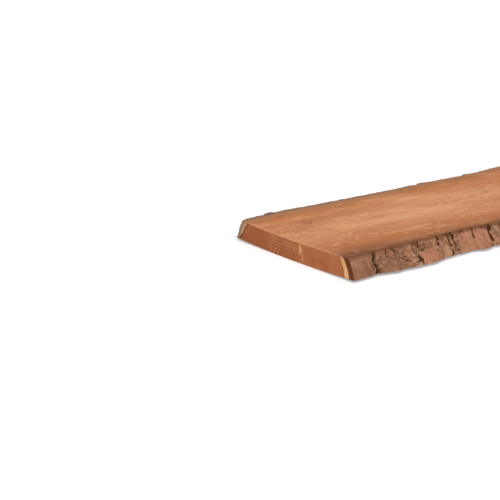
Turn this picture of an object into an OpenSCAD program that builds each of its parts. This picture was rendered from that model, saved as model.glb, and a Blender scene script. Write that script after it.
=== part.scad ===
// Waney-edged board: one plank sawn from the side of a small softwood log, bark left on both long edges.
// The origin is the middle of the underside. X runs along the grain, Y across the board, Z up.
// The board is the log's own grown shape cut by four saw cuts: underside, upper face and two square ends.

/* [Board] */
// Length along the grain, between the two square-sawn ends
board_length = 2000; // [600:10:3000]
// Thickness between the two sawn faces
board_thickness = 25; // [18:1:40]
// Width of the underside over the bark, at mid-length and before the edges wander
board_width = 212; // [160:1:400]

/* [Log] */
// Depth of the pith below the underside, which sets how far the wane leans
pith_depth = 24; // [0:1:40]
// Loss of log diameter for each metre of length
log_taper = 5; // [0:0.5:10]
// Sideways bow of the log's middle against its ends
log_bow = 3; // [0:0.5:20]

/* [Waney edges] */
// Height of the long swells along an edge
swell_height = 2.2; // [0:0.1:6]
// Length of one long swell
swell_length = 640; // [200:10:1500]
// Height of the short ripples along an edge
ripple_height = 1; // [0:0.1:3]
// Length of one short ripple
ripple_length = 130; // [60:5:400]
// How far the edge stands out where a ring of branches grew
whorl_height = 3; // [0:0.1:10]
// Length of edge that one such swelling takes up
whorl_length = 110; // [40:5:300]
// Distance along the log between two rings of branches
whorl_pitch = 700; // [200:10:1000]

/* [Hidden] */

near = -1;
far = 1;

// The log slice runs this far past every saw cut
overcut = 4;
saw_reach = board_width;

// Sections along the board, and flats that follow the round of the log up each edge
section_pitch = 16;
section_count = ceil(board_length / section_pitch);
section_step = (board_length + 2 * overcut) / section_count;
edge_flats = 6;
flat_step = (board_thickness + 2 * overcut) / edge_flats;
ring_points = 2 * (edge_flats + 1);

// Radius over the bark at mid-length, from the underside's width and the pith's depth
log_radius = sqrt(pow(board_width / 2, 2) + pow(pith_depth, 2));

// Turn of the waves at mid-length, opposite on the two edges so that one doesn't mirror the other
swell_turn = -34;
ripple_turn = 70;
// Ripples lean as they climb the edge, in degrees for each millimetre
ripple_lean = 4;
// A second, longer ripple keeps the first from repeating
long_ripple = 1.618;

// Rings of branches along the log, counted both ways from the first one past the middle
first_whorl = 0.35 * whorl_pitch;
whorl_reach = ceil(board_length / whorl_pitch);
whorls = [for (k = [-whorl_reach : whorl_reach]) first_whorl + k * whorl_pitch];

function sum(list) = list * [for (item = list) 1];
function section_x(i) = -board_length / 2 - overcut + i * section_step;
function flat_z(j) = -overcut + j * flat_step;

// Half width of the round, tapering log at a height above the underside
function wane(x, z) =
    sqrt(pow(log_radius - log_taper * x / 2000, 2) - pow(pith_depth + z, 2));

// The three ways in which a grown edge leaves the round log
function swell(x, side) = swell_height * sin(360 * x / swell_length + swell_turn * side);

function ripple(x, z, side) =
    let (lean = ripple_lean * z + ripple_turn * side)
    ripple_height * (sin(360 * x / ripple_length + lean)
                   + sin(360 * x / (long_ripple * ripple_length) - lean));

// Branches of one ring leave the log at slightly different places on its two sides
function whorl(x, side) =
    whorl_height * sum([for (at = whorls) exp(-pow(2 * (x - at) / whorl_length - side, 2))]);

function bow(x) = log_bow * (0.5 - pow(2 * x / board_length, 2));

function edge_point(x, z, side) =
    [x, bow(x) + side * (wane(x, z) + swell(x, side) + ripple(x, z, side) + whorl(x, side)), z];

// One section's points: up the near edge, then down the far edge
function ring(x) = concat(
    [for (j = [0 : edge_flats]) edge_point(x, flat_z(j), near)],
    [for (j = [edge_flats : -1 : 0]) edge_point(x, flat_z(j), far)]);

// The slice of log that the board is sawn from, lofted through its sections
module log_slice() {
    points = [for (i = [0 : section_count]) each ring(section_x(i))];
    last = section_count * ring_points;
    skin = [for (i = [0 : section_count - 1], j = [0 : ring_points - 1])
        let (a = i * ring_points + j,
             b = i * ring_points + (j + 1) % ring_points,
             c = b + ring_points,
             d = a + ring_points)
        each [[a, c, b], [a, d, c]]];
    butt_end = [for (j = [0 : edge_flats - 1])
        [j, j + 1, ring_points - 2 - j, ring_points - 1 - j]];
    top_end = [for (face = butt_end) [for (k = [3 : -1 : 0]) last + face[k]]];
    polyhedron(points, concat(skin, butt_end, top_end));
}

// What the saw leaves standing: the space between the two faces and the two ends
module saw_cuts() {
    translate([-board_length / 2, -saw_reach, 0])
        cube([board_length, 2 * saw_reach, board_thickness]);
}

module plank() {
    color([0.80, 0.57, 0.41])
        intersection() {
            log_slice();
            saw_cuts();
        }
}

plank();
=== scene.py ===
import math
from functools import partial

import bpy
import numpy as np
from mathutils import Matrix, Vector


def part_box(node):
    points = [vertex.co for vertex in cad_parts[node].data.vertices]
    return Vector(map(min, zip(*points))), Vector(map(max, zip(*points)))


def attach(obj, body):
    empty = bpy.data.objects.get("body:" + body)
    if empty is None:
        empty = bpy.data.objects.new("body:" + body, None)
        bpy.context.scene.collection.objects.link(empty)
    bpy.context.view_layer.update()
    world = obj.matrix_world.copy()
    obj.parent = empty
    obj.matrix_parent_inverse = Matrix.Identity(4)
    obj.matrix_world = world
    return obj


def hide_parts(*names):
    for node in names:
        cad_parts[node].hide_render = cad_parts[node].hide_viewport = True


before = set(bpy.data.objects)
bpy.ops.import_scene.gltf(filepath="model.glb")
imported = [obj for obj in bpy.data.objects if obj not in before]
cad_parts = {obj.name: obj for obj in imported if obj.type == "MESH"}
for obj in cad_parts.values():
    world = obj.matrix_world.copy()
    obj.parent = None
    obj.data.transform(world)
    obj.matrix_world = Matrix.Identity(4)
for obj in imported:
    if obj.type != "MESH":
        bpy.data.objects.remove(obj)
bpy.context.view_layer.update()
low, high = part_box("plank")

# Board, in metres: X along the grain, Y across, Z up
LENGTH = high.x - low.x
THICKNESS = high.z - low.z
BUTT_X = low.x
NEAR, FAR = -1.0, 1.0

# Bark left on the two long edges, measured square to the edge
BARK_DEPTH = {NEAR: 0.0050, FAR: 0.0022}

# Drying cupped the board: rise of its faces at 100 mm from the middle
CUP_RISE = 0.0026

# The log that the board came from: its pith runs below the underside
PITH_Y = 0.008
PITH_Z = -0.012
RING_WIDTH = 0.0030
SAPWOOD = {NEAR: 0.0082, FAR: 0.0076}

# Branches that grew through the board: place along the pith, angle up from +Y in degrees, radius
KNOTS = (
    (-0.937, 40, 0.0054),
    (-0.950, 25, 0.0026),
    (-0.300, 128, 0.0026),
    (-0.651, 73, 0.0040),
    (-0.463, 60, 0.0082),
    (-0.444, 149, 0.0058),
    (-0.120, 100, 0.0034),
    (0.060, 33, 0.0028),
    (0.237, 82, 0.0094),
    (0.263, 29, 0.0055),
    (0.249, 141, 0.0045),
    (0.430, 121, 0.0030),
    (0.610, 95, 0.0038),
    (0.781, 63, 0.0031),
    (0.934, 107, 0.0084),
    (0.958, 45, 0.0052),
)

# How far a branch leans along the log for each metre that it grows outwards
BRANCH_LEAN = 0.22

# Colours as seen, in 8-bit sRGB
FACE_ACROSS = (
    (-0.008, (112, 69, 46)),
    (0.000, (133, 82, 54)),
    (0.006, (146, 90, 58)),
    (0.011, (159, 99, 62)),
    (0.022, (178, 111, 68)),
    (0.042, (193, 125, 80)),
    (0.070, (202, 139, 96)),
    (0.100, (212, 151, 106)),
)
FACE_LATE = (176, 114, 74)
FACE_LIGHT = (229, 171, 125)
FACE_DARK = (142, 88, 54)
FACE_GREY = (166, 125, 93)
FACE_ARRIS = (206, 141, 102)
END_WOOD = (181, 108, 67)
END_SHADE = (159, 91, 53)
END_RING = (228, 166, 117)
END_DARK = (126, 68, 40)
END_BAND = (196, 124, 84)
END_LOW = (158, 88, 50)
SAP_WOOD = (240, 188, 134)
SAP_SHADE = (206, 146, 94)
FAR_SAP = (178, 146, 110)
CAMBIUM = (92, 46, 22)
KNOT_WOOD = (150, 92, 58)
KNOT_RIM = (104, 60, 38)
BARK_PINK = (182, 123, 94)
BARK_BROWN = (152, 104, 75)
BARK_GREY = (148, 107, 81)
BARK_OLIVE = (148, 111, 79)
BARK_DEEP = (84, 48, 28)
BARK_LIP = (196, 153, 120)
BARK_SHADE = (113, 75, 52)
BARK_RIM = (121, 78, 54)
BARK_CUT = (100, 50, 22)
BARK_LAYER = (116, 60, 29)
BARK_GRIT = (84, 46, 26)
BARK_CUT_FACE = (147, 97, 69)
BARK_LINE = (98, 61, 41)
FAR_GREY = (148, 116, 90)
# Painted shade, laid on the far bark's sawn top where its lumps stand out
BARK_LUMP = (108, 83, 76)

# Pale smears on the butt end: place across and up, half of the width and of the height, strength
PALE_MARKS = ((-0.0157, 0.0170, 0.0036, 0.0078, 0.95), (-0.0205, 0.0078, 0.0026, 0.0070, 0.60))

# Smooth plates of bark: start and end along the board, lowest and highest point, share of pink
BARE_PLATES = {
    NEAR: (
        (-1.030, -0.967, -0.020, 0.045, 0.30),
        (-0.895, -0.864, -0.020, 0.019, 0.95),
        (-0.8255, -0.7725, -0.003, 0.0265, 1.00),
        (-0.655, -0.618, -0.020, 0.045, 0.55),
        (-0.521, -0.488, 0.006, 0.045, 0.80),
        (-0.330, -0.276, -0.020, 0.020, 0.35),
        (-0.105, -0.070, -0.020, 0.045, 0.70),
        (0.060, 0.112, 0.004, 0.045, 1.00),
        (0.305, 0.341, -0.020, 0.018, 0.50),
        (0.520, 0.566, 0.005, 0.045, 0.30),
        (0.735, 0.764, -0.020, 0.045, 0.80),
        (0.880, 0.930, -0.020, 0.021, 0.60),
    ),
    FAR: (
        (-0.935, -0.893, -0.020, 0.020, 0.50),
        (-0.742, -0.706, 0.004, 0.045, 0.90),
        (-0.560, -0.505, -0.020, 0.045, 0.30),
        (-0.371, -0.340, 0.007, 0.045, 0.70),
        (-0.180, -0.126, -0.020, 0.019, 1.00),
        (0.020, 0.054, -0.020, 0.045, 0.40),
        (0.236, 0.290, 0.005, 0.045, 0.80),
        (0.430, 0.462, -0.020, 0.020, 0.60),
        (0.640, 0.697, 0.003, 0.045, 0.35),
        (0.842, 0.873, -0.020, 0.045, 0.90),
    ),
}

# How square the corners of those plates are: 2 gives an ellipse
PLATE_CORNERS = 3.5

# Upright cracks that stand open: place along the board, half of the width
OPEN_CRACKS = {
    NEAR: ((-0.9610, 0.0026), (-0.8385, 0.0012), (-0.8295, 0.0024), (-0.7690, 0.0040), (-0.7020, 0.0020),
           (-0.5790, 0.0030), (-0.4400, 0.0022), (-0.3450, 0.0034), (-0.2200, 0.0024), (-0.0590, 0.0026),
           (0.0480, 0.0022), (0.1700, 0.0034), (0.2760, 0.0020), (0.4050, 0.0030), (0.5790, 0.0024),
           (0.6600, 0.0028), (0.8120, 0.0034), (0.9450, 0.0022)),
    FAR: ((-0.8410, 0.0022), (-0.6650, 0.0030), (-0.4620, 0.0024), (-0.2510, 0.0034), (-0.0810, 0.0022),
          (0.1410, 0.0028), (0.3480, 0.0022), (0.5520, 0.0032), (0.7480, 0.0024), (0.9320, 0.0028)),
}

# Short upright cracks from the upper rim: place along the board, lowest point, half of the width
SHORT_CRACKS = {
    NEAR: ((-0.9400, 0.013, 0.0017), (-0.8990, 0.012, 0.0015), (-0.8885, 0.015, 0.0013),
           (-0.7985, 0.013, 0.0027), (-0.6350, 0.015, 0.0014), (-0.3900, 0.012, 0.0016),
           (-0.0860, 0.014, 0.0014), (0.0870, 0.013, 0.0015), (0.3600, 0.012, 0.0016),
           (0.5420, 0.014, 0.0013), (0.7000, 0.012, 0.0015)),
    FAR: ((-0.7240, 0.013, 0.0014), (-0.5300, 0.012, 0.0015), (-0.3000, 0.014, 0.0013),
          (0.0370, 0.013, 0.0015), (0.4960, 0.012, 0.0016), (0.6680, 0.014, 0.0014)),
}

# Stretches of dull, dark bark: place along the board, half of the length, strength
DULL_BARK = ((-1.0000, 0.080, 0.42), (-0.9450, 0.040, 0.52), (-0.6300, 0.090, 0.22), (-0.2500, 0.110, 0.30),
             (0.2100, 0.080, 0.26), (0.4700, 0.090, 0.34), (0.8800, 0.120, 0.26))

# Thick scales left standing: place along the board, half of the length, how far each stands out
BARK_LUMPS = {
    NEAR: ((-0.5500, 0.014, 0.0012), (0.2050, 0.018, 0.0014), (0.8400, 0.013, 0.0012)),
    FAR: ((-0.9780, 0.024, 0.0050), (-0.9525, 0.010, 0.0076), (-0.9500, 0.040, 0.0040),
          (-0.9050, 0.050, 0.0046), (-0.8580, 0.045, 0.0044), (-0.8150, 0.050, 0.0030),
          (-0.7680, 0.048, 0.0034), (-0.7250, 0.026, 0.0020), (-0.6900, 0.009, 0.0030),
          (-0.6050, 0.007, 0.0030), (-0.4080, 0.014, 0.0048), (-0.2900, 0.050, 0.0040),
          (-0.0300, 0.011, 0.0052), (0.1830, 0.016, 0.0046), (0.3000, 0.060, 0.0042),
          (0.3900, 0.009, 0.0054), (0.6010, 0.013, 0.0050), (0.7900, 0.010, 0.0056),
          (0.8700, 0.045, 0.0042)),
}

# Stretches where the foot of the bark stands out further: place along the board, half of a length, reach
BARK_FEET = {
    NEAR: ((-0.9080, 0.066, 0.0078), (-0.7760, 0.028, 0.0070), (-0.5500, 0.090, 0.0046),
           (-0.2100, 0.110, 0.0038), (0.1400, 0.090, 0.0052), (0.4800, 0.120, 0.0040),
           (0.8300, 0.080, 0.0050)),
    FAR: ((-0.6400, 0.120, 0.0016), (-0.1500, 0.090, 0.0020), (0.3400, 0.130, 0.0016),
          (0.7600, 0.100, 0.0020)),
}

# Loose scales that lie on the bark
SCALE_SIZES = {"Scales a square metre": 7000.0, "Seed": 4, "Least length": 0.0030}

# Sizes of the bark's pattern, in metres
PATTERN_SIZES = {"Plate length": 0.036, "Plate height": 0.040, "Scale length": 0.015, "Scale height": 0.011,
                 "Crumb length": 0.0056, "Crack depth": 0.0034}

# Depths of its relief, in metres, and the share of them on each edge
RELIEF_DEPTHS = {"Seam depth": 0.0012, "Pit depth": 0.0015, "Plate lift": 0.0012, "Scale lift": 0.0024,
                 "Crumb lift": 0.0013, "Ridge depth": 0.0010, "Grit depth": 0.0008, "Bare depth": 0.0018,
                 "Rim chips": 0.0016}
RELIEF = {NEAR: 1.0, FAR: 0.8}

# What else differs between the edges
EDGE_WORDS = {NEAR: "near", FAR: "far"}
EDGE_SIZES = {
    NEAR: {"Shift": 3.3, "Flare": 0.0036, "Rim calm": 0.3, "Rim wear": 0.0014, "Stand out": 0.0028},
    FAR: {"Shift": 8.1, "Flare": 0.0020, "Rim calm": 0.7, "Rim wear": 0.0005, "Stand out": 0.0010},
}


# Node helpers

def linear(colour):
    """A colour given in 8-bit sRGB, as the linear colour that a node takes."""
    values = [c / 255 for c in colour]
    return [v / 12.92 if v <= 0.04045 else ((v + 0.055) / 1.055) ** 2.4 for v in values] + [1.0]


class Drawing:
    """The node tree that the helpers below draw in."""
    tree = None


def draw_in(tree):
    Drawing.tree = tree
    return tree


def link(start, end):
    Drawing.tree.links.new(start, end)


def put(kind, inputs=None, **settings):
    """Adds a node; each input is linked to a socket or set to a value."""
    node = Drawing.tree.nodes.new(kind)
    for name, value in settings.items():
        setattr(node, name, value)
    for key, value in (inputs or {}).items():
        if isinstance(value, bpy.types.NodeSocket):
            link(value, node.inputs[key])
        else:
            node.inputs[key].default_value = value
    return node


def calc(operation, *values):
    return put("ShaderNodeMath", dict(enumerate(values)), operation=operation).outputs[0]


plus = partial(calc, "ADD")
minus = partial(calc, "SUBTRACT")
times = partial(calc, "MULTIPLY")
times_plus = partial(calc, "MULTIPLY_ADD")
over = partial(calc, "DIVIDE")
least = partial(calc, "MINIMUM")
most = partial(calc, "MAXIMUM")
unsigned = partial(calc, "ABSOLUTE")


def within(value, start, stop):
    return least(most(value, start), stop)


def vector(operation, *values):
    return put("ShaderNodeVectorMath", dict(enumerate(values)), operation=operation).outputs["Vector"]


def split(place):
    return put("ShaderNodeSeparateXYZ", {0: place}).outputs


def join(x, y, z):
    return put("ShaderNodeCombineXYZ", {0: x, 1: y, 2: z}).outputs[0]


def ease(value, start, stop, first=0.0, last=1.0, kind="SMOOTHSTEP"):
    """Goes from first to last as value goes from start to stop."""
    node = put("ShaderNodeMapRange",
               {"Value": value, "From Min": start, "From Max": stop, "To Min": first, "To Max": last},
               interpolation_type=kind)
    return node.outputs[0]


def tint(share, a, b):
    """Mixes two colours; a colour is a socket or 8-bit sRGB."""
    a, b = (linear(c) if isinstance(c, tuple) else c for c in (a, b))
    return put("ShaderNodeMix", {0: share, 6: a, 7: b}, data_type="RGBA").outputs[2]


def coats(colour, *layers):
    """Lays colours over a colour in turn; each layer is how much it covers, and its colour."""
    for share, layer in layers:
        colour = tint(share, colour, layer)
    return colour


def ramp(value, stops):
    """A colour that changes with a value; each stop is a value and a colour in 8-bit sRGB."""
    first, last = stops[0][0], stops[-1][0]
    node = put("ShaderNodeValToRGB", {0: ease(value, first, last, kind="LINEAR")})
    elements = node.color_ramp.elements
    for _ in stops[2:]:
        elements.new(0.5)
    for element, (at, colour) in zip(elements, stops):
        element.position = (at - first) / (last - first)
        element.color = linear(colour)
    return node.outputs[0]


def noise(place, scale, detail=2.0, rough=0.5, dims="3D", colour=False):
    where = "W" if dims == "1D" else "Vector"
    node = put("ShaderNodeTexNoise", {"Scale": scale, "Detail": detail, "Roughness": rough, where: place},
               noise_dimensions=dims)
    return node.outputs[1 if colour else 0]


def scaled_noise(place, scales, detail=2.0, rough=0.5):
    """A noise with its own scale along each axis."""
    return noise(vector("MULTIPLY", place, scales), 1.0, detail, rough)


def grained(place, along, across, shift=0.0, detail=2.0, rough=0.5):
    """A noise that is drawn out along the grain."""
    scaled = vector("MULTIPLY", place, (along, across, across))
    return noise(vector("ADD", scaled, (shift, shift * 1.7, shift * 0.6)), 1.0, detail, rough)


def wander(place, scale, reach, detail=2.0, rough=0.5):
    """A push whose direction changes from place to place; reach is its size along each axis."""
    push = vector("SUBTRACT", noise(place, scale, detail, rough, colour=True), (0.5, 0.5, 0.5))
    return vector("MULTIPLY", push, reach)


def roughened(value, pattern, reach):
    """A value that a noise takes up and down."""
    return times_plus(minus(pattern, 0.5), reach, value)


def attribute(name):
    return put("ShaderNodeAttribute", attribute_name=name).outputs["Fac"]


def cup(y):
    """How far drying lifted the board at a place across it."""
    return times(times(y, y), CUP_RISE / 0.1 ** 2)


def end_distance(x):
    """Distance to the nearer end of the board."""
    return minus(LENGTH / 2, unsigned(x))


def add_sockets(way, kind, *names):
    for name in names:
        Drawing.tree.interface.new_socket(name, in_out=way, socket_type="NodeSocket" + kind)


# Growth of the wood, as one solid pattern that every sawn face cuts through

def branch_group():
    """Distance from the middle of one branch, which starts at the pith."""
    tree = draw_in(bpy.data.node_groups.new("branch", "ShaderNodeTree"))
    add_sockets("INPUT", "Vector", "Place", "Start", "Way")
    add_sockets("OUTPUT", "Float", "Distance", "Flow", "Below")
    given = put("NodeGroupInput").outputs
    out = put("NodeGroupOutput").inputs
    away = vector("SUBTRACT", given["Place"], given["Start"])
    along = put("ShaderNodeVectorMath", {0: away, 1: given["Way"]}, operation="DOT_PRODUCT")
    on_axis = put("ShaderNodeVectorMath", {0: given["Way"], "Scale": along.outputs["Value"]},
                  operation="SCALE")
    off = vector("SUBTRACT", away, on_axis.outputs[0])
    for name, share in (("Distance", 0.55), ("Flow", 0.30)):
        length = put("ShaderNodeVectorMath", {0: vector("MULTIPLY", off, (share, 1, 1))},
                     operation="LENGTH")
        link(length.outputs["Value"], out[name])
    link(times(split(off)["Y"], -1.0), out["Below"])
    return tree


def growth_group():
    """Late wood, ring number and knots at a place in the log."""
    branch = branch_group()
    tree = draw_in(bpy.data.node_groups.new("growth", "ShaderNodeTree"))
    add_sockets("INPUT", "Vector", "Place")
    add_sockets("OUTPUT", "Float", "Late", "Ring", "Knot", "Rim", "Heart")
    place = put("NodeGroupInput").outputs["Place"]
    out = put("NodeGroupOutput").inputs
    x, y, z = split(place)

    # The pith wanders along the log
    off = []
    for value, pace, shift, reach, middle in ((y, 1.1, 3.7, 0.036, PITH_Y), (z, 1.4, 9.2, 0.040, PITH_Z)):
        sway = noise(times_plus(x, pace, shift), 1.0, 1.0, dims="1D")
        off.append(minus(value, times_plus(sway, reach, middle - reach / 2)))
    radius = calc("SQRT", times_plus(off[0], off[0], times(off[1], off[1])))
    radius = times_plus(x, 0.003, radius)
    radius = times_plus(grained(place, 2.2, 20), 0.012, radius)
    wiggle = grained(place, 16, 150, 4.0)
    radius = times_plus(wiggle, 0.0040, radius)

    # Grain flows round each branch
    knot = rim = 0.0
    for at, angle, size in KNOTS:
        turn = math.radians(angle)
        way = Vector((BRANCH_LEAN, math.cos(turn), math.sin(turn))).normalized()
        start = (at - BRANCH_LEAN * (THICKNESS - PITH_Z) / math.sin(turn), PITH_Y, PITH_Z)
        grew = put("ShaderNodeGroup", {"Place": place, "Start": start, "Way": way},
                   node_tree=branch).outputs
        ragged = times_plus(wiggle, 0.45 * size, grew["Distance"])
        core = ease(ragged, 1.60 * size, 0.30 * size)
        ring = ease(unsigned(minus(ragged, 1.25 * size)), 0.32 * size, 0.0)
        ring = times(ring, ease(grew["Below"], -0.2 * size, 0.9 * size, 0.04, 1.0))
        ring = most(ring, ease(ragged, 0.55 * size, 0.20 * size, 0.0, 0.55))
        swell = ease(grew["Flow"], 4.5 * size, 0.5 * size, 0.0, 1.5 * size)
        radius = minus(radius, swell)
        knot = most(knot, core)
        rim = most(rim, ring)

    uneven = noise(times(radius, 60.0), 1.0, 1.0, dims="1D")
    years = times_plus(uneven, 1.2, over(radius, RING_WIDTH))
    season = calc("FRACT", years)
    late = times(ease(season, 0.35, 0.88), ease(season, 1.0, 0.93))
    ring = put("ShaderNodeTexWhiteNoise", {"W": calc("FLOOR", years)}, noise_dimensions="1D")
    heart = times(ease(radius, 0.051, 0.041), ease(radius, 0.020, 0.029))
    for name, value in (("Late", late), ("Ring", ring.outputs["Value"]), ("Knot", knot), ("Rim", rim),
                        ("Heart", heart)):
        link(value, out[name])
    return tree


def grown_wood(growth, place):
    return put("ShaderNodeGroup", {"Place": place}, node_tree=growth).outputs


def new_material(name):
    """A material with its place on the board as it was sawn, before it cupped."""
    material = bpy.data.materials.new(name)
    material.use_nodes = True
    shader = draw_in(material.node_tree).nodes["Principled BSDF"]
    shader.inputs["Specular IOR Level"].default_value = 0.12
    x, y, z = split(put("ShaderNodeTexCoord").outputs["Object"])
    z = minus(z, cup(y))
    return material, shader, join(x, y, z), (x, y, z)


def finish_shader(shader, colour, pattern, roughness, height, depth):
    """Links the colour, a roughness that follows a pattern, and a relief."""
    link(colour, shader.inputs["Base Color"])
    link(ease(pattern, 0.3, 0.7, *roughness, "LINEAR"), shader.inputs["Roughness"])
    bump = put("ShaderNodeBump", {"Height": height, "Strength": 1.0, "Distance": depth})
    link(bump.outputs[0], shader.inputs["Normal"])


def sawn_face_material(growth):
    """Upper face and underside: light along the middle, soft grain, torn fibres, a stain by the bark."""
    material, shader, place, (x, y, _) = new_material("sawn_face")
    grown = grown_wood(growth, place)
    to_bark = attribute("to_bark")
    streaks = grained(place, 2.2, 38, 2.0, 3.0)
    broad = grained(place, 1.3, 62, 23.0, 4.0, 0.6)
    patches = grained(place, 6.0, 18, 7.0, 3.0)
    fibres = grained(place, 34, 900, 5.0, 3.0, 0.65)
    flecks = grained(place, 125, 230, 11.0, 3.0, 0.60)
    dashes = grained(place, 36, 118, 41.0)
    mottle = grained(place, 8, 30, 31.0, 3.0, 0.48)
    torn = grained(place, 9, 30, 17.0)
    saw = scaled_noise(place, (330, 14, 14))

    # How far in from the bark a place looks, which sets its colour
    looks = roughened(roughened(to_bark, patches, 0.030), streaks, 0.030)
    looks = least(looks, times_plus(to_bark, 1.8, 0.003))
    looks = most(looks, times_plus(to_bark, 0.85, 0.001))
    looks = plus(looks, ease(y, 0.0, 0.06, 0.001, 0.010))
    stained = times(ease(x, -0.88, -0.96, 0.0, 0.009), ease(y, 0.02, -0.04))
    looks = minus(looks, stained)
    drift = times(ease(x, -0.92, -0.65, 0.0, 0.009), ease(y, 0.03, -0.05, -1.0, 0.7))
    looks = most(plus(looks, drift), FACE_ACROSS[0][0])

    duller = times(ease(x, -0.92, -0.74, 0.0, 0.10), ease(y, -0.03, 0.035, 0.4, 2.0))
    rings = times(grown["Late"], ease(grown["Ring"], 0.0, 1.0, 0.10, 0.50, "LINEAR"))
    rings = times(rings, ease(patches, 0.35, 0.60, 0.35, 1.0))
    inner = ease(to_bark, 0.004, 0.030, 0.2, 1.0)
    rough_patch = times(ease(torn, 0.44, 0.62, 0.22, 1.0), ease(to_bark, 0.006, 0.035, 0.40, 1.0))
    fleck_share = times(rough_patch, ease(y, 0.02, 0.07, 1.0, 0.5))
    from_bark = roughened(to_bark, mottle, 0.030)
    far_grey = times(ease(from_bark, 0.020, 0.0, 0.0, 0.55), ease(y, 0.0, 0.05))
    # Within a few millimetres of each end, away from the bark, the face turns to the even tone FACE_ARRIS
    from_end = roughened(end_distance(x), dashes, 0.010)
    end_arris = times(ease(from_end, 0.007, 0.001, 0.0, 0.70), ease(to_bark, 0.004, 0.016))
    colour = coats(
        ramp(looks, FACE_ACROSS),
        (duller, FACE_LATE),
        (rings, FACE_LATE),
        (ease(streaks, 0.52, 0.72, 0.0, 0.20), FACE_LIGHT),
        (ease(broad, 0.52, 0.74, 0.0, 0.30), FACE_LATE),
        (ease(fibres, 0.50, 0.80, 0.0, 0.30), FACE_LATE),
        (times(ease(mottle, 0.52, 0.70, 0.0, 0.50), inner), FACE_LIGHT),
        (times(ease(mottle, 0.48, 0.30, 0.0, 0.58), inner), FACE_LATE),
        (times(ease(flecks, 0.55, 0.67, 0.0, 0.76), fleck_share), FACE_LIGHT),
        (times(ease(dashes, 0.54, 0.68, 0.0, 0.48), rough_patch), FACE_LIGHT),
        (times(ease(flecks, 0.42, 0.30, 0.0, 0.68), fleck_share), FACE_DARK),
        (times(ease(dashes, 0.43, 0.28, 0.0, 0.30), rough_patch), FACE_DARK),
        (times(grown["Knot"], 0.35), KNOT_WOOD),
        (times(grown["Rim"], 0.75), KNOT_RIM),
        (far_grey, FACE_GREY),
        (ease(to_bark, 0.0016, 0.0002, 0.0, 0.12), CAMBIUM),
        (end_arris, FACE_ARRIS),
    )

    height = times_plus(fibres, 0.50, times(flecks, 0.30))
    height = times_plus(times(saw, rough_patch), 0.15, height)
    height = times_plus(grown["Late"], 0.08, height)
    finish_shader(shader, colour, fibres, (0.72, 0.9), height, 0.0007)
    return material


def end_grain_material(growth):
    """Sawn ends: ring arcs round the heart, a pale sapwood band and a dark line under the bark."""
    material, shader, place, (x, y, z) = new_material("end_grain")
    grown = grown_wood(growth, place)
    late = grown["Late"]
    to_bark = attribute("to_bark")
    mottle = noise(place, 60, 3.0)
    fine = noise(place, 210, 2.0)
    pores = noise(place, 1300, 2.0, 0.6)
    broken = noise(vector("ADD", place, (0.0, 0.31, 0.0)), 140, 2.0)
    saw = scaled_noise(place, (1, 420, 60))
    bands = scaled_noise(place, (1, 70, 14))

    low_shade = times(ease(z, 0.018, 0.008, 0.0, 0.45), ease(y, -0.02, 0.02))
    clear = times(grown["Heart"], ease(broken, 0.38, 0.56, 0.10, 1.0))
    clear = times_plus(clear, 0.72, 0.04)
    light = times(clear, ease(grown["Ring"], 0.0, 1.0, 0.45, 1.0))
    colour = coats(
        END_WOOD,
        (ease(y, -0.06, 0.05, 0.0, 0.75), END_SHADE),
        (ease(bands, 0.38, 0.64, 0.0, 0.30), END_BAND),
        (ease(mottle, 0.46, 0.30, 0.0, 0.45), END_SHADE),
        (low_shade, END_LOW),
        (times(ease(late, 0.30, 0.90), light), END_RING),
        (times(ease(late, 0.25, 0.0), times(clear, 0.50)), END_DARK),
        (ease(pores, 0.5, 0.75, 0.0, 0.30), END_DARK),
    )

    # Pale smears beside the heart
    bent_y = roughened(y, fine, 0.009)
    at_butt = ease(x, -0.5, -0.6)
    for across, height, half_width, half_height, strength in PALE_MARKS:
        off_y = over(minus(bent_y, across), half_width)
        off_z = over(minus(z, height), half_height)
        far_off = times_plus(off_y, off_y, times(off_z, off_z))
        smear = ease(times_plus(pores, 1.2, far_off), 1.7, 0.6, 0.0, strength)
        colour = tint(times(smear, at_butt), colour, END_RING)

    # Sapwood under the bark
    ragged = roughened(roughened(to_bark, mottle, 0.008), fine, 0.004)
    far_width = ease(z, 0.0, THICKNESS, 0.40 * SAPWOOD[FAR], 1.10 * SAPWOOD[FAR], "LINEAR")
    near_width = ease(z, 0.0, THICKNESS, 0.90 * SAPWOOD[NEAR], 1.12 * SAPWOOD[NEAR], "LINEAR")
    deep = minus(ragged, ease(y, -0.05, 0.05, near_width, far_width))
    heart_line = ease(unsigned(minus(deep, 0.0012)), 0.0020, 0.0)
    heart_line = times(heart_line, ease(y, -0.05, 0.05, 0.25, 0.85))
    sap = coats(
        SAP_WOOD,
        (ease(mottle, 0.42, 0.62, 0.0, 0.6), SAP_SHADE),
        (ease(pores, 0.45, 0.75, 0.0, 0.35), SAP_SHADE),
        (ease(y, 0.0, 0.05, 0.0, 0.85), FAR_SAP),
    )
    shown = times(ease(deep, 0.0004, -0.0020), ease(z, 0.0248, 0.0215, 0.50, 1.0))
    colour = coats(
        colour,
        (heart_line, CAMBIUM),
        (shown, sap),
        (ease(to_bark, 0.0016, 0.0003, 0.0, 0.85), CAMBIUM),
    )

    height = times_plus(pores, 0.5, times(saw, 0.35))
    finish_shader(shader, colour, pores, (0.75, 0.92), height, 0.0004)
    return material


# Bark pattern, the same for the shape and for the colours

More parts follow.
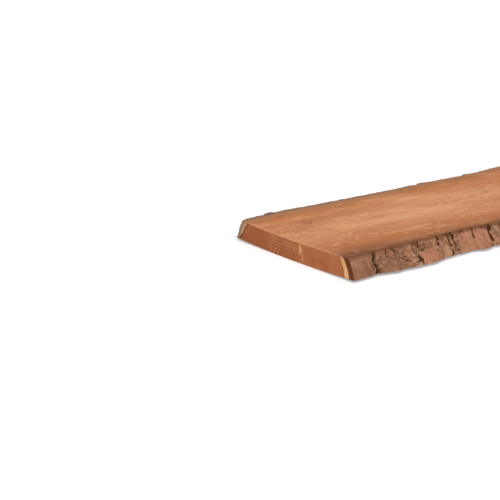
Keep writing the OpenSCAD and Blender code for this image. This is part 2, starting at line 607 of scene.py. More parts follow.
def scale_level(place, length, height):
    """One size of bark scale: distance to the border, three random numbers a scale, and its height."""
    cells = vector("DIVIDE", place, join(length, height, 1.0))
    cell_inputs = {"Vector": cells, "Scale": 1.0, "Randomness": 0.95}
    border, chosen = (
        put("ShaderNodeTexVoronoi", cell_inputs, voronoi_dimensions="2D", feature=feature).outputs
        for feature in ("DISTANCE_TO_EDGE", "F1"))
    dice = split(chosen["Color"])
    inside = split(vector("SUBTRACT", cells, chosen["Position"]))
    lean_x = times(inside[0], minus(dice[1], 0.5))
    lean_z = times(inside[1], minus(dice[2], 0.5))
    return border["Distance"], dice, plus(dice[0], plus(lean_x, lean_z))


def bare_plates(x, z, side):
    """Inside the smooth plates, the upright cracks beside them, and how pink each plate is."""
    inside = crack = pink = 0.0
    for start, stop, bottom, top, share in BARE_PLATES[side]:
        half_x, half_z = (stop - start) / 2, (top - bottom) / 2
        off_x = unsigned(over(minus(x, (start + stop) / 2), half_x))
        off_z = unsigned(over(minus(z, (bottom + top) / 2), half_z))
        steep_x, steep_z = (calc("POWER", off, PLATE_CORNERS) for off in (off_x, off_z))
        rounded = most(plus(steep_x, steep_z), 1e-6)
        size = times_plus(over(steep_x, rounded), half_x - half_z, half_z)
        depth = times(minus(1.0, calc("POWER", rounded, 1 / PLATE_CORNERS)), size)
        plate = ease(depth, 0.0, 0.0016)
        line = ease(unsigned(depth), 0.0013, 0.0003)
        inside = most(inside, plate)
        crack = most(crack, line)
        pink = most(pink, times(plate, share))
    return inside, crack, pink


def bumps(x, places):
    """The highest of some bumps along the board; each has a place, half of its length and a height."""
    value = 0.0
    for at, half, height in places:
        off = unsigned(minus(x, at))
        value = most(value, ease(off, half, half * 0.4, 0.0, height))
    return value


def bark_marks(x, z, side, given):
    """Plates, scales and cracks at a place along and up an edge, each by its name."""
    flat = join(plus(x, given["Shift"]), z, 0.0)
    warp = vector("ADD", wander(flat, 45, (0.020, 0.016, 0.0)),
                  wander(flat, 190, (0.007, 0.006, 0.0), 1.0, 0.6))
    warped = vector("ADD", flat, warp)
    bent = split(warp)
    bent_x = times_plus(bent["X"], 0.6, x)
    bare, bare_crack, pink = bare_plates(bent_x, times_plus(bent["Y"], 0.6, z), side)
    gape = bumps(bent_x, [(at, half, 1.0) for at, half in OPEN_CRACKS[side]])
    plate_border, plate_dice, plate_rise = scale_level(
        warped, given["Plate length"], given["Plate height"])
    scale_border, scale_dice, scale_rise = scale_level(
        warped, given["Scale length"], given["Scale height"])
    _, crumb_dice, crumb_rise = scale_level(warped, given["Crumb length"], given["Crumb length"])

    uneven = minus(1.0, bare)
    worn = times(ease(scaled_noise(flat, (16, 30, 1), 1.0), 0.36, 0.56, 0.35, 1.0), uneven)
    worn = times_plus(bare, 0.06, worn)
    higher = ease(z, 0.003, 0.013, 0.35, 1.0)

    open_share = ease(noise(flat, 55, 2.0), 0.36, 0.64, 0.05, 1.0)
    plate_crack = ease(over(plate_border, times(open_share, 0.052)), 1.0, 0.2)
    plate_crack = times(plate_crack, times(uneven, higher))
    bare_crack = times(bare_crack, ease(open_share, 0.2, 0.8))
    crack = most(most(plate_crack, bare_crack), gape)
    pits = ease(scaled_noise(warped, (150, 95, 1)), 0.62, 0.72)
    pits = times(pits, times(worn, higher))
    some = ease(noise(flat, 75, 1.0), 0.42, 0.62)
    seam = times(ease(scale_border, 0.085, 0.02), times(some, worn))
    seam = times(seam, higher)
    for at, bottom, half in SHORT_CRACKS[side]:
        off = unsigned(minus(bent_x, at))
        short = times(ease(off, half, 0.4 * half), ease(z, bottom, bottom + 0.004))
        seam = most(seam, short)
    scar = ease(scaled_noise(flat, (190, 40, 1)), 0.58, 0.68, 0.0, 0.5)

    tone = times_plus(scale_dice[1], 0.55, times(plate_dice[1], 0.45))
    lip = times(ease(scale_border, 0.17, 0.07), minus(1.0, scale_dice[0]))
    dark = most(crack, times(seam, 0.70))
    dark = most(dark, times(pits, 0.65))
    return {"flat": flat, "warped": warped, "bent_x": bent_x, "bare": bare, "uneven": uneven, "worn": worn,
            "pink": pink, "crack": crack, "seam": seam, "pits": pits, "scar": times(scar, bare),
            "dark": dark, "tone": tone, "lip": times(lip, worn), "crumb": crumb_dice[1],
            "plate_rise": plate_rise, "scale_rise": scale_rise, "crumb_rise": crumb_rise}


def bark_material(name, side=None, sizes=None):
    """Weathered outside of the bark: smooth pink plates, grey-brown scales with pale lips, dark cracks."""
    material, shader, place, (x, _, z) = new_material(name)
    if side is None:
        marks = {"dark": 0.0, "scar": 0.0, "bare": 0.0, "pink": 0.0, "tone": attribute("scale_tone"),
                 "lip": attribute("scale_lip"), "crumb": attribute("crumb_tone")}
    else:
        z = attribute("row_height")
        marks = bark_marks(x, z, side, sizes)
    patches = noise(place, 34, 3.0)
    cloud = noise(place, 130, 3.0, 0.6)
    grit = noise(place, 480, 4.0, 0.65)
    specks = noise(place, 1500, 2.0)
    push = vector("MULTIPLY", noise(place, 260, 2.0, colour=True), (0.006, 0.006, 0.006))
    chips = put("ShaderNodeTexVoronoi", {"Vector": vector("ADD", place, push), "Scale": 300.0},
                feature="F1")
    chip = split(chips.outputs["Color"])
    rough = times_plus(marks["bare"], -0.60, 1.0)

    colour = coats(
        BARK_BROWN,
        (ease(marks["tone"], 0.30, 0.55), BARK_PINK),
        (ease(marks["tone"], 0.58, 0.78, 0.0, 0.9), BARK_GREY),
        (ease(patches, 0.50, 0.64, 0.0, 0.65), BARK_OLIVE),
        (times(marks["bare"], 0.6), BARK_GREY),
        (times(marks["pink"], 0.85), BARK_PINK),
        (ease(z, 0.014, 0.004, 0.0, 0.58), BARK_PINK),
        (marks["scar"], BARK_SHADE),
    )
    for value, middle, dark, light, shade, shine in (
            (marks["crumb"], 0.48, 0.00, 1.00, 0.60, 0.60), (chip[0], 0.52, 0.00, 1.00, 0.40, 0.32),
            (cloud, 0.50, 0.28, 0.72, 0.80, 0.70), (grit, 0.52, 0.30, 0.74, 0.65, 0.60)):
        darker = ease(value, middle - 0.06, dark, 0.0, shade)
        lighter = ease(value, middle + 0.06, light, 0.0, shine)
        colour = tint(times(darker, rough), colour, BARK_SHADE)
        colour = tint(times(lighter, rough), colour, BARK_LIP)
    dull = times(bumps(x, DULL_BARK), ease(z, 0.008, 0.020, 1.0, 0.10))
    ragged = roughened(z, cloud, 0.005)
    pale_foot = times(ease(z, 0.0026, 0.0006, 0.0, 0.60), ease(cloud, 0.40, 0.60, 0.3, 1.0))
    colour = coats(
        colour,
        (times(marks["lip"], 0.55), BARK_LIP),
        (ease(specks, 0.62, 0.75, 0.0, 0.30), BARK_SHADE),
        (dull, BARK_SHADE),
        (ease(z, 0.011, 0.019, 0.0, 0.06), BARK_RIM),
        (ease(ragged, THICKNESS - 0.0014, THICKNESS + 0.0002, 0.0, 0.70), BARK_RIM),
        (pale_foot, BARK_LIP),
        (ease(marks["dark"], 0.20, 0.80), BARK_DEEP),
    )

    height = times_plus(grit, 0.7, times(specks, 0.3))
    height = times_plus(times(chip[1], rough), 0.35, height)
    height = times_plus(marks["dark"], -0.8, height)
    finish_shader(shader, colour, grit, (0.82, 0.96), height, 0.0011)
    return material


def bark_cut_material():
    """Bark where the saw went through it: red-brown layers, greyer towards the outside, painted shade over
    the far lumps.
    """
    material, shader, place, (x, y, _) = new_material("bark_cut")
    inward = attribute("inward")
    grit = noise(place, 480, 3.0, 0.6)
    layers = noise(times_plus(inward, 9.0, times(grit, 1.2)), 1.0, 2.0, dims="1D")
    from_end = end_distance(x)
    broken = ease(noise(times(x, 34.0), 1.0, 2.0, dims="1D"), 0.38, 0.58, 0.58, 0.70)
    line = times(ease(times_plus(grit, 0.3, inward), 0.85, 0.30), broken)
    dull = times(bumps(x, DULL_BARK), ease(inward, 0.90, 0.35))
    weathered = coats(BARK_CUT_FACE, (line, BARK_LINE), (dull, BARK_LINE))
    far_cut = tint(ease(from_end, 0.0001, 0.0010), FAR_SAP, FAR_GREY)
    # Painted shade: the far bark's sawn top turns purple-grey where its thick lumps stand out
    lump_painted_shade = ease(bumps(x, BARK_LUMPS[FAR]), 0.0046, 0.0076, 0.0, 0.75)
    colour = coats(
        BARK_CUT,
        (ease(layers, 0.35, 0.65), BARK_LAYER),
        (ease(inward, 0.70, 1.0, 0.0, 0.6), CAMBIUM),
        (ease(from_end, 0.0001, 0.0010, 0.10, 0.85), weathered),
        (ease(y, 0.0, 0.05, 0.0, 0.8), far_cut),
        (ease(grit, 0.52, 0.34, 0.0, 0.35), BARK_GRIT),
        (times(lump_painted_shade, ease(y, 0.0, 0.05)), BARK_LUMP),
    )
    finish_shader(shader, colour, grit, (0.8, 0.95), grit, 0.0008)
    return material


# Blanks: closed meshes, still straight, that the trees below bring to the board's own shape

BARK_ROWS = 36
BARK_SAWN_ROWS = 4
BARK_INNER_ROWS = 5
BARK_STRIPS = 7
BARK_STRIP_COLUMNS = 285
BARK_BLANK_DEPTH = 0.001
CUT_INSET = 0.00012

# Texture map of the bark: strips one above the other, each row as high as it is on the bark, in metres
BARK_MAP_ROWS = {"outside": THICKNESS, "sawn": 0.007, "inner": 0.003}
BARK_MAP_GAP = 0.002
MAP_MARGIN = 0.004
CAP_STARTS = (0.02, 0.16)
CAP_WIDTH = 0.1


def mesh_piece(name, points, faces, sharp_test=None):
    """A new piece; sharp_test picks its sharp edges by the numbers of their two points."""
    mesh = bpy.data.meshes.new(name)
    mesh.from_pydata(points, [], faces)
    mesh.update()
    if sharp_test:
        edges = np.zeros(len(mesh.edges) * 2, np.int32)
        mesh.edges.foreach_get("vertices", edges)
        sharp = mesh.attributes.new("sharp_edge", "BOOLEAN", "EDGE")
        sharp.data.foreach_set("value", sharp_test(edges.reshape(-1, 2)))
    piece = bpy.data.objects.new(name, mesh)
    bpy.context.scene.collection.objects.link(piece)
    return piece


def mesh_attribute(piece, name, values, domain="POINT", kind="FLOAT"):
    made = piece.data.attributes.new(name, kind, domain)
    made.data.foreach_set("value", np.ascontiguousarray(values))


def bake_map(piece, places):
    """Gives a piece its texture map; places has one row a corner."""
    layer = piece.data.uv_layers.new(name="OFBake")
    layer.data.foreach_set("uv", np.ascontiguousarray(places, np.float32).ravel())


def inset(share):
    """A share of the texture map's width or height, kept off its border."""
    return MAP_MARGIN + share * (1 - 2 * MAP_MARGIN)


def bark_profile():
    """Height, as a share of the thickness, and share of the way in, of each row round the strip."""
    up = np.linspace(0, 1, BARK_ROWS + 1)
    sawn = np.linspace(0, 1, BARK_SAWN_ROWS + 1)[1:]
    down = np.linspace(1, 0, BARK_INNER_ROWS + 1)[1:]
    height = np.concatenate([up, np.ones(len(sawn)), down, np.zeros(len(sawn) - 1)])
    inward = np.concatenate([np.zeros(len(up)), sawn, np.ones(len(down)), sawn[::-1][1:]])
    return height, inward


def bark_map(column, row):
    """Texture places of the corners of the strip's quads, and then of its two end caps."""
    parts = (("outside", BARK_ROWS), ("sawn", BARK_SAWN_ROWS), ("inner", BARK_INNER_ROWS),
             ("sawn", BARK_SAWN_ROWS))
    steps = [np.full(count, BARK_MAP_ROWS[part] / count) for part, count in parts]
    level = np.concatenate([[0.0], np.cumsum(np.concatenate(steps))])
    strip_step = level[-1] + BARK_MAP_GAP
    whole = BARK_STRIPS * strip_step + BARK_MAP_ROWS["sawn"] + 2 * BARK_MAP_GAP
    strip = column // BARK_STRIP_COLUMNS
    u = (column[:, None] + (0, 1, 1, 0) - strip[:, None] * BARK_STRIP_COLUMNS) / BARK_STRIP_COLUMNS
    v = (level[row[:, None] + (0, 0, 1, 1)] + strip[:, None] * strip_step) / whole
    height, inward = bark_profile()
    cap_v = inset((BARK_STRIPS * strip_step + inward * BARK_MAP_ROWS["sawn"]) / whole)
    caps = [np.stack([start + CAP_WIDTH * height, cap_v], -1) for start in CAP_STARTS]
    return np.stack([inset(u), inset(v)], -1), caps


def bark_blank(name, side):
    """A straight strip of bark: outside, sawn top, inner wall and sawn bottom as one loop of rows."""
    columns = BARK_STRIPS * BARK_STRIP_COLUMNS
    height, inward = bark_profile()
    rows = len(height)
    points = np.zeros((columns + 1, rows, 3))
    points[:, :, 0] = np.linspace(BUTT_X, BUTT_X + LENGTH, columns + 1)[:, None]
    points[:, :, 1] = -side * BARK_BLANK_DEPTH * inward[None, :]
    points[:, :, 2] = height[None, :] * THICKNESS

    i, j = np.meshgrid(np.arange(columns), np.arange(rows), indexing="ij")
    k = (j + 1) % rows
    corners = [i * rows + j, (i + 1) * rows + j, (i + 1) * rows + k, i * rows + k]
    quads = np.stack(corners, -1).reshape(-1, 4)
    caps = [list(range(rows)), [columns * rows + r for r in reversed(range(rows))]]
    quad_map, cap_maps = bark_map(i.ravel(), j.ravel())
    cap_maps = [cap_maps[0], cap_maps[1][::-1]]
    if side == FAR:
        quads, quad_map = quads[:, ::-1], quad_map[:, ::-1]
        caps, cap_maps = [cap[::-1] for cap in caps], [places[::-1] for places in cap_maps]
    rims = (0, BARK_ROWS, BARK_ROWS + BARK_SAWN_ROWS, BARK_ROWS + BARK_SAWN_ROWS + BARK_INNER_ROWS)

    def on_rim(edges):
        row = edges % rows
        column = edges // rows
        along = (row[:, 0] == row[:, 1]) & np.isin(row[:, 0], rims)
        at_end = (column[:, 0] == column[:, 1]) & np.isin(column[:, 0], (0, columns))
        return along | at_end

    piece = mesh_piece(name, points.reshape(-1, 3).tolist(), quads.tolist() + caps, on_rim)
    bake_map(piece, np.concatenate([quad_map.reshape(-1, 2), *cap_maps]))
    mesh_attribute(piece, "inward", np.tile(inward, columns + 1))
    outside = np.concatenate([(j < BARK_ROWS).ravel(), [False, False]])
    mesh_attribute(piece, "sawn", ~outside, "FACE", "BOOLEAN")
    piece.data.polygons.foreach_set("use_smooth", outside)
    return piece


TIMBER_COLUMNS = 400
TIMBER_ROWS = 50
TIMBER_LAYERS = 8
TIMBER_WIDTH = 0.2
ARRIS = 0.0006

# Texture map of the timber: each long face as two strips, shares of the map's height, and the ends enlarged
FACE_STRIP = 0.200
SIDE_STRIP = 0.012
STRIP_GAP = 0.004
END_SIZE = (0.47, 0.055)
END_STARTS = (0.01, 0.51)


def timber_map(axis, far_end, column, shares):
    """Texture place of a corner on a face square to an axis; shares say where it is along each axis."""
    along, across, up = shares
    sides_start = 4 * (FACE_STRIP + STRIP_GAP)
    if axis == 0:
        start = sides_start + 4 * (SIDE_STRIP + STRIP_GAP)
        return END_STARTS[far_end] + across * END_SIZE[0], start + up * END_SIZE[1]
    half = int(column >= TIMBER_COLUMNS // 2)
    slot = 2 * far_end + half
    u = inset(2 * along - half)
    if axis == 1:
        return u, sides_start + slot * (SIDE_STRIP + STRIP_GAP) + up * SIDE_STRIP
    return u, slot * (FACE_STRIP + STRIP_GAP) + STRIP_GAP / 2 + across * FACE_STRIP


def with_arris(count, length):
    """Evenly spaced shares of a length, with one extra at each end for the worn arris."""
    inner = np.linspace(ARRIS / length, 1 - ARRIS / length, count - 1)
    return np.concatenate([[0.0], inner, [1.0]])


def timber_blank(name):
    """A straight bar of wood whose surface is divided along, across and up."""
    counts = (TIMBER_COLUMNS, TIMBER_ROWS, TIMBER_LAYERS)
    shares = [with_arris(n, size) for n, size in zip(counts, (LENGTH, TIMBER_WIDTH, THICKNESS))]
    index, points, faces, ends, places = {}, [], [], [], []
    dice = np.random.default_rng(5)

    def corner(key):
        if key not in index:
            index[key] = len(points)
            u, v, w = (shares[axis][key[axis]] for axis in range(3))
            z = w * THICKNESS
            if key[0] in (0, counts[0]) and key[2] in (0, counts[2]):
                z += (0.5 - w) * 2 * ARRIS * dice.uniform(0.2, 1.0)
            points.append((BUTT_X + u * LENGTH, v, z))
        return index[key]

    for axis in range(3):
        a, b = [other for other in range(3) if other != axis]
        for end in (0, counts[axis]):
            for p in range(counts[a]):
                for q in range(counts[b]):
                    loop, on_map = [], []
                    for dp, dq in ((0, 0), (1, 0), (1, 1), (0, 1)):
                        key = [0, 0, 0]
                        key[axis], key[a], key[b] = end, p + dp, q + dq
                        loop.append(corner(tuple(key)))
                        where = [shares[n][key[n]] for n in range(3)]
                        on_map.append(timber_map(axis, int(end > 0), p, where))
                    outward = (end > 0) == (axis != 1)
                    faces.append(loop if outward else loop[::-1])
                    places.extend(on_map if outward else on_map[::-1])
                    ends.append(axis == 0)

    piece = mesh_piece(name, points, faces)
    bake_map(piece, np.array(places))
    mesh_attribute(piece, "across", np.array(points)[:, 1])
    mesh_attribute(piece, "end_grain", np.array(ends), "FACE", "BOOLEAN")
    return piece


# A loose scale: points round it, radius and height of its rings, heights of its middle, reach of its rim
FLAKE_SIDES = 14
FLAKE_RINGS = ((0.55, 0.10), (0.90, 0.07), (1.00, 0.0), (0.88, -0.10))
FLAKE_MIDDLE = (0.11, -0.12)
FLAKE_RIM = (0.62, 1.12)


def flake_blank(name):
    """One thin scale of bark, of half length 1: a closed disc, thin at its ragged rim."""
    dice = np.random.default_rng(11)
    turn = np.arange(FLAKE_SIDES) * 2 * math.pi / FLAKE_SIDES
    ragged = dice.uniform(*FLAKE_RIM, FLAKE_SIDES)
    points, lips = [(0, 0, height) for height in FLAKE_MIDDLE], [0.0, 0.0]
    for radius, height in FLAKE_RINGS:
        for angle, far in zip(turn, ragged):
            points.append((radius * far * math.cos(angle), radius * far * math.sin(angle), height))
            lips.append(0.5 if radius > 0.89 and height >= 0 else 0.0)
    faces = []
    for k in range(FLAKE_SIDES):
        n = (k + 1) % FLAKE_SIDES
        rings = [(2 + r * FLAKE_SIDES + k, 2 + r * FLAKE_SIDES + n) for r in range(len(FLAKE_RINGS))]
        faces.append((0, *rings[0]))
        faces.extend((a, c, d, b) for (a, b), (c, d) in zip(rings, rings[1:]))
        faces.append((1, *rings[-1][::-1]))
    piece = mesh_piece(name, points, faces)
    piece.data.polygons.foreach_set("use_smooth", [True] * len(faces))
    mesh_attribute(piece, "scale_lip", np.array(lips))
    return piece


# Trees that bring the blanks to shape

SOCKETS = {float: "Float", int: "Int", bpy.types.Object: "Object", bpy.types.Material: "Material"}


def new_tree(name, sizes):
    tree = draw_in(bpy.data.node_groups.new(name, "GeometryNodeTree"))
    add_sockets("INPUT", "Geometry", "Geometry")
    add_sockets("OUTPUT", "Geometry", "Geometry")
    for label, value in sizes.items():
        add_sockets("INPUT", SOCKETS[type(value)], label)
    return tree, put("NodeGroupInput").outputs, put("NodeGroupOutput")


def shape(piece, tree, sizes):
    """Runs a tree on a piece and leaves a plain mesh."""
    modifier = piece.modifiers.new(tree.name, "NODES")
    modifier.node_group = tree
    for item in tree.interface.items_tree:
        if item.in_out == "INPUT" and item.name in sizes:
            modifier[item.identifier] = sizes[item.name]
    bpy.context.view_layer.update()
    depsgraph = bpy.context.evaluated_depsgraph_get()
    mesh = bpy.data.meshes.new_from_object(piece.evaluated_get(depsgraph), preserve_all_data_layers=True,
                                           depsgraph=depsgraph)
    mesh.name = piece.name
    piece.modifiers.clear()
    piece.data = mesh
    return piece


def position():
    return put("GeometryNodeInputPosition").outputs[0]


def named(name, kind="FLOAT"):
    return put("GeometryNodeInputNamedAttribute", {"Name": name}, data_type=kind).outputs[0]


def store(geometry, name, value, domain="POINT"):
    node = put("GeometryNodeStoreNamedAttribute", {"Geometry": geometry, "Name": name, "Value": value},
               data_type="FLOAT", domain=domain)
    return node.outputs[0]


def moved_to(geometry, place):
    return put("GeometryNodeSetPosition", {"Geometry": geometry, "Position": place}).outputs[0]


def painted(geometry, material, marked=None):
    """Gives a material to every face, or to those that a named attribute marks."""
    inputs = {"Geometry": geometry, "Material": material}
    if marked:
        inputs["Selection"] = named(marked, "BOOLEAN")
    return put("GeometryNodeSetMaterial", inputs).outputs[0]


def kept_inside(x, z, off_ends, off_faces):
    """A place along and up the board, kept off its ends and its faces."""
    return (within(x, off_ends - LENGTH / 2, LENGTH / 2 - off_ends),
            within(z, off_faces, THICKNESS - off_faces))


def grown_edge(board, x, z, side):
    """Y of the board's grown edge at a place along and up it."""
    inside_x, inside_z = kept_inside(x, z, 0.0005, 0.0004)
    target = put("GeometryNodeObjectInfo", {"Object": board}).outputs["Geometry"]
    start = join(inside_x, side * 0.5, inside_z)
    ray = put("GeometryNodeRaycast", {"Target Geometry": target, "Source Position": start,
                                      "Ray Direction": (0, -side, 0), "Ray Length": 1.0})
    return split(ray.outputs["Hit Position"])["Y"]


# Stretch from the butt over which the bark comes to its common slope
BUTT_REACH = 0.06


def wood_edge(edge, x, z, side, bark):
    """Y where the wood ends and the bark starts; at the butt the bark is thicker at its rim."""
    uneven = times_plus(noise(join(x, side, z), 28, 2.0), 0.45, 0.775)
    foot = ease(x, BUTT_X, BUTT_X + BUTT_REACH, 1.05, 1.35)
    rim = ease(x, BUTT_X, BUTT_X + BUTT_REACH, 1.70, 1.0)
    slope = ease(z, 0.0, THICKNESS, foot, rim, "LINEAR")
    depth = times(times(bark, uneven), slope)
    return times_plus(depth, -side, edge)


def timber_tree(sizes):
    """Spreads the bar of wood between the two strips of bark and cups it."""
    tree, given, out = new_tree("sawn_timber", sizes)
    x, _, z = split(position())
    sides = []
    for side, label in ((NEAR, "Near bark"), (FAR, "Far bark")):
        edge = grown_edge(given["Board"], x, z, side)
        sides.append(wood_edge(edge, x, z, side, given[label]))
    width = minus(sides[1], sides[0])
    share = named("across")
    y = times_plus(share, width, sides[0])
    moved = moved_to(given["Geometry"], join(x, y, plus(z, cup(y))))
    nearer = least(share, minus(1.0, share))
    kept = store(moved, "to_bark", times(nearer, width))
    faced = painted(kept, given["Face"])
    link(painted(faced, given["End"], "end_grain"), out.inputs[0])
    return tree


def bark_tree(side, sizes):
    """Brings a strip of bark to its edge: inner wall against the wood, outside cracked and scaly."""
    tree, given, out = new_tree("bark_" + EDGE_WORDS[side], sizes)
    x, _, z = split(position())
    edge = grown_edge(given["Board"], x, z, side)
    wood = wood_edge(edge, x, z, side, given["Bark"])
    marks = bark_marks(x, z, side, given)
    flat, uneven, worn = marks["flat"], marks["uneven"], marks["worn"]

    # How far the outside lies inside the board's edge
    ridges = scaled_noise(marks["warped"], (70, 230, 1), 3.0, 0.6)
    grain = minus(noise(flat, 330, 3.0, 0.6), 0.5)
    depth = times(marks["bare"], given["Bare depth"])
    for mark, label in (("crack", "Crack depth"), ("seam", "Seam depth"), ("pits", "Pit depth")):
        depth = times_plus(marks[mark], given[label], depth)
    for mark, label, share in ((marks["plate_rise"], "Plate lift", uneven),
                               (marks["scale_rise"], "Scale lift", worn),
                               (marks["crumb_rise"], "Crumb lift", worn), (ridges, "Ridge depth", worn),
                               (grain, "Grit depth", times_plus(worn, 0.7, 0.3))):
        depth = times_plus(mark, times(given[label], share), depth)
    at_rim = ease(z, THICKNESS - 0.008, THICKNESS - 0.001)
    calm = minus(1.0, times(at_rim, given["Rim calm"]))
    depth = times(depth, calm)
    near_face = most(ease(z, THICKNESS - 0.0035, THICKNESS), ease(z, 0.0035, 0.0, 0.0, 0.1))
    chipped = times(near_face, noise(flat, 95, 2.0))
    depth = times_plus(chipped, given["Rim chips"], depth)
    set_back = times(at_rim, ease(x, BUTT_X + 0.05, BUTT_X, 0.0, 0.45))
    depth = minus(depth, times(given["Stand out"], minus(1.0, set_back)))
    flare = times(ease(z, 0.021, 0.0), ease(end_distance(x), 0.0, 0.07, 0.40, 1.0))
    foot = plus(given["Flare"], bumps(x, BARK_FEET[side]))
    depth = minus(depth, times(flare, foot))
    depth = least(depth, times(given["Bark"], 0.72))
    depth = minus(depth, bumps(marks["bent_x"], BARK_LUMPS[side]))
    skin = times_plus(depth, -side, edge)
    inward = named("inward")
    y = times_plus(inward, minus(wood, skin), skin)

    # The sawn faces of the bark crumble towards the outside
    off_face = times(ease(z, THICKNESS - 1e-5, THICKNESS, kind="LINEAR"), CUT_INSET)
    crumbled = ease(noise(flat, 80, 3.0, 0.6), 0.34, 0.66, 0.15, 1.0)
    crumbled = times(crumbled, times_plus(marks["bare"], -0.75, 1.0))
    outer = calc("POWER", minus(1.0, inward), 2.0)
    wear = times(times(crumbled, outer), given["Rim wear"])
    sunk = times_plus(wear, ease(z, THICKNESS * 0.76, THICKNESS), off_face)
    sunk = minus(sunk, times(wear, ease(z, THICKNESS * 0.24, 0.0, 0.0, 0.10)))
    lifted = plus(minus(z, sunk), cup(y))
    moved = moved_to(given["Geometry"], join(x, y, lifted))

    kept = store(store(moved, "row_height", z), "bare", marks["bare"])
    skinned = painted(kept, given["Outside"])
    link(painted(skinned, given["Cut"], "sawn"), out.inputs[0])
    return tree


def chance(start, stop, seed):
    """A random number, or three of them, for each scale."""
    kind = "FLOAT_VECTOR" if isinstance(start, tuple) else "FLOAT"
    first = 0 if kind == "FLOAT_VECTOR" else 2
    node = put("FunctionNodeRandomValue", {first: start, first + 1: stop, "Seed": seed}, data_type=kind)
    return node.outputs[0 if kind == "FLOAT_VECTOR" else 1]


def loose_scales_tree(sizes):
    """Scatters copies of one scale over the rough outside of a strip of bark."""
    tree, given, out = new_tree("loose_scales", sizes)
    bark = put("GeometryNodeObjectInfo", {"Object": given["Bark piece"]}).outputs["Geometry"]
    z = named("row_height")
    to_face = least(z, minus(THICKNESS, z))
    amount = times(ease(to_face, 0.002, 0.004), given["Scales a square metre"])
    amount = times(amount, ease(named("bare"), 0.5, 0.0, 0.02, 1.0))
    grown = put("FunctionNodeBooleanMath", {0: named("sawn", "BOOLEAN")}, operation="NOT").outputs[0]
    spots = put("GeometryNodeDistributePointsOnFaces", {
        "Mesh": bark, "Density": amount, "Seed": given["Seed"], "Selection": grown}).outputs
    lean = put("FunctionNodeEulerToRotation", {
        0: chance((-0.16, -0.16, 0.0), (0.16, 0.16, 6.283), 1)}).outputs[0]
    turn = put("FunctionNodeRotateRotation", {0: spots["Rotation"], 1: lean}, rotation_space="LOCAL")
    length = given["Least length"]
    size = vector("MULTIPLY", join(length, times(length, 0.6), length),
                  chance((1.0, 0.8, 0.8), (2.6, 2.4, 1.8), 2))
    scales = put("GeometryNodeInstanceOnPoints", {
        "Points": spots["Points"], "Instance": given["Geometry"], "Rotation": turn.outputs[0],
        "Scale": size}).outputs[0]
    scales = store(scales, "scale_tone", chance(0.25, 0.95, 3), "INSTANCE")
    scales = store(scales, "crumb_tone", chance(0.15, 0.9, 4), "INSTANCE")
    loose = put("GeometryNodeRealizeInstances", {0: scales}).outputs[0]

    # Every scale has its own outline, and none goes past the board's faces and ends
    place = position()
    push = wander(place, 230, (0.0045, 0.0012, 0.0045))
    x, y, z = split(vector("ADD", place, push))
    rise = cup(y)
    kept_x, kept_z = kept_inside(x, minus(z, rise), 0.0004, 0.0003)
    loose = moved_to(loose, join(kept_x, y, plus(kept_z, rise)))
    link(painted(loose, given["Outside"]), out.inputs[0])
    return tree


growth = growth_group()
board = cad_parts["plank"]
sawn_face = sawn_face_material(growth)
end_grain = end_grain_material(growth)
loose_bark = bark_material("loose_bark")
bark_cut = bark_cut_material()

timber_sizes = {"Board": board, "Near bark": BARK_DEPTH[NEAR], "Far bark": BARK_DEPTH[FAR],
                "Face": sawn_face, "End": end_grain}
timber = shape(timber_blank("timber"), timber_tree(timber_sizes), timber_sizes)

bark_pieces, loose_pieces = [], []
for side, word in EDGE_WORDS.items():
    bark_sizes = {"Bark": BARK_DEPTH[side], **PATTERN_SIZES, **EDGE_SIZES[side]}
    bark_sizes.update({label: depth * RELIEF[side] for label, depth in RELIEF_DEPTHS.items()})
    outside = bark_material("bark_" + word, side, bark_sizes)
    bark_sizes.update({"Board": board, "Outside": outside, "Cut": bark_cut})
    strip = bark_blank(f"bark_{word}_edge", side)
    bark_pieces.append(shape(strip, bark_tree(side, bark_sizes), bark_sizes))
    scale_sizes = {"Bark piece": bark_pieces[-1], **SCALE_SIZES, "Outside": loose_bark}
    flake = flake_blank("loose_scales_" + word)
    loose_pieces.append(shape(flake, loose_scales_tree(scale_sizes), scale_sizes))


# Floor, light and camera

FLOOR_RADIUS = 40
WHITE_FILL = 0.30
FLOOR_SHADE = 0.78
SKY_SHARE = 0.50

# Lamps: name, direction, strength, spread in degrees
LAMPS = (("key", (0.25, 0.55, -1.0), 1.35, 50), ("fill", (0.7, 0.7, -0.7), 0.7, 70))


def background_ray():
    """One for rays that show the background: seen directly, in a gloss or through glass."""
    path = put("ShaderNodeLightPath").outputs
    seen = most(path["Is Camera Ray"], path["Is Glossy Ray"])
    return most(seen, path["Is Transmission Ray"])


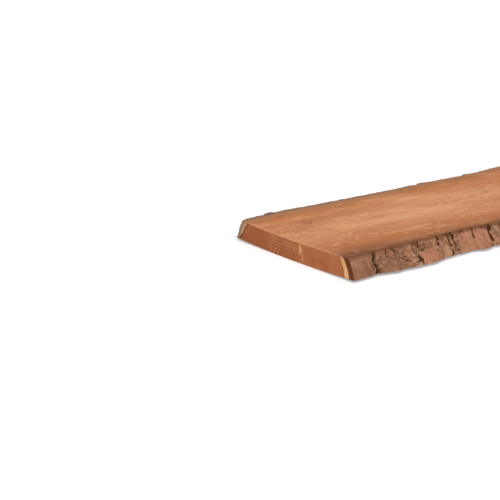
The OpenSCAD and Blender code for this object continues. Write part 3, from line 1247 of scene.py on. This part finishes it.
def floor_piece():
    bpy.ops.mesh.primitive_circle_add(vertices=96, radius=FLOOR_RADIUS, fill_type="NGON")
    floor = bpy.context.object
    floor.name = "floor"
    material = bpy.data.materials.new("white_floor")
    material.use_nodes = True
    draw_in(material.node_tree).nodes.clear()
    diffuse = put("ShaderNodeBsdfDiffuse", {"Color": [FLOOR_SHADE] * 3 + [1.0]})
    fill = put("ShaderNodeEmission", {"Strength": times(background_ray(), WHITE_FILL)})
    both = put("ShaderNodeAddShader", {0: diffuse.outputs[0], 1: fill.outputs[0]})
    put("ShaderNodeOutputMaterial", {"Surface": both.outputs[0]})
    floor.data.materials.append(material)


def studio_light():
    world = bpy.data.worlds.new("studio")
    bpy.context.scene.world = world
    world.use_nodes = True
    draw_in(world.node_tree).nodes.clear()
    sky = ease(background_ray(), 0.0, 1.0, SKY_SHARE, 1.0, "LINEAR")
    shade = put("ShaderNodeBackground", {"Color": (1, 1, 1, 1), "Strength": sky})
    put("ShaderNodeOutputWorld", {"Surface": shade.outputs[0]})
    for name, towards, strength, spread in LAMPS:
        lamp = bpy.data.lights.new(name, "SUN")
        lamp.energy = strength
        lamp.angle = math.radians(spread)
        holder = bpy.data.objects.new(name, lamp)
        holder.rotation_mode = "QUATERNION"
        holder.rotation_quaternion = Vector(towards).to_track_quat("-Z", "Y")
        bpy.context.scene.collection.objects.link(holder)


PICTURE = 500
FOCAL_PIXELS = 1467.7
CAMERA_PLACE = (-2.0678, -1.3009, 0.5248)
CAMERA_YAW = math.radians(37.68)
CAMERA_PITCH = math.radians(16.92)


def photo_camera():
    camera = bpy.data.cameras.new("camera")
    camera.sensor_width = 36.0
    camera.lens = camera.sensor_width * FOCAL_PIXELS / PICTURE
    holder = bpy.data.objects.new("camera", camera)
    holder.location = CAMERA_PLACE
    forward = Vector((math.sin(CAMERA_YAW) * math.cos(CAMERA_PITCH),
                      math.cos(CAMERA_YAW) * math.cos(CAMERA_PITCH), -math.sin(CAMERA_PITCH)))
    holder.rotation_mode = "QUATERNION"
    holder.rotation_quaternion = forward.to_track_quat("-Z", "Y")
    bpy.context.scene.collection.objects.link(holder)
    bpy.context.scene.camera = holder


floor_piece()
studio_light()
photo_camera()
bpy.context.scene.view_settings.view_transform = "Standard"

for piece in (timber, *bark_pieces, *loose_pieces):
    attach(piece, "root")
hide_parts("plank")
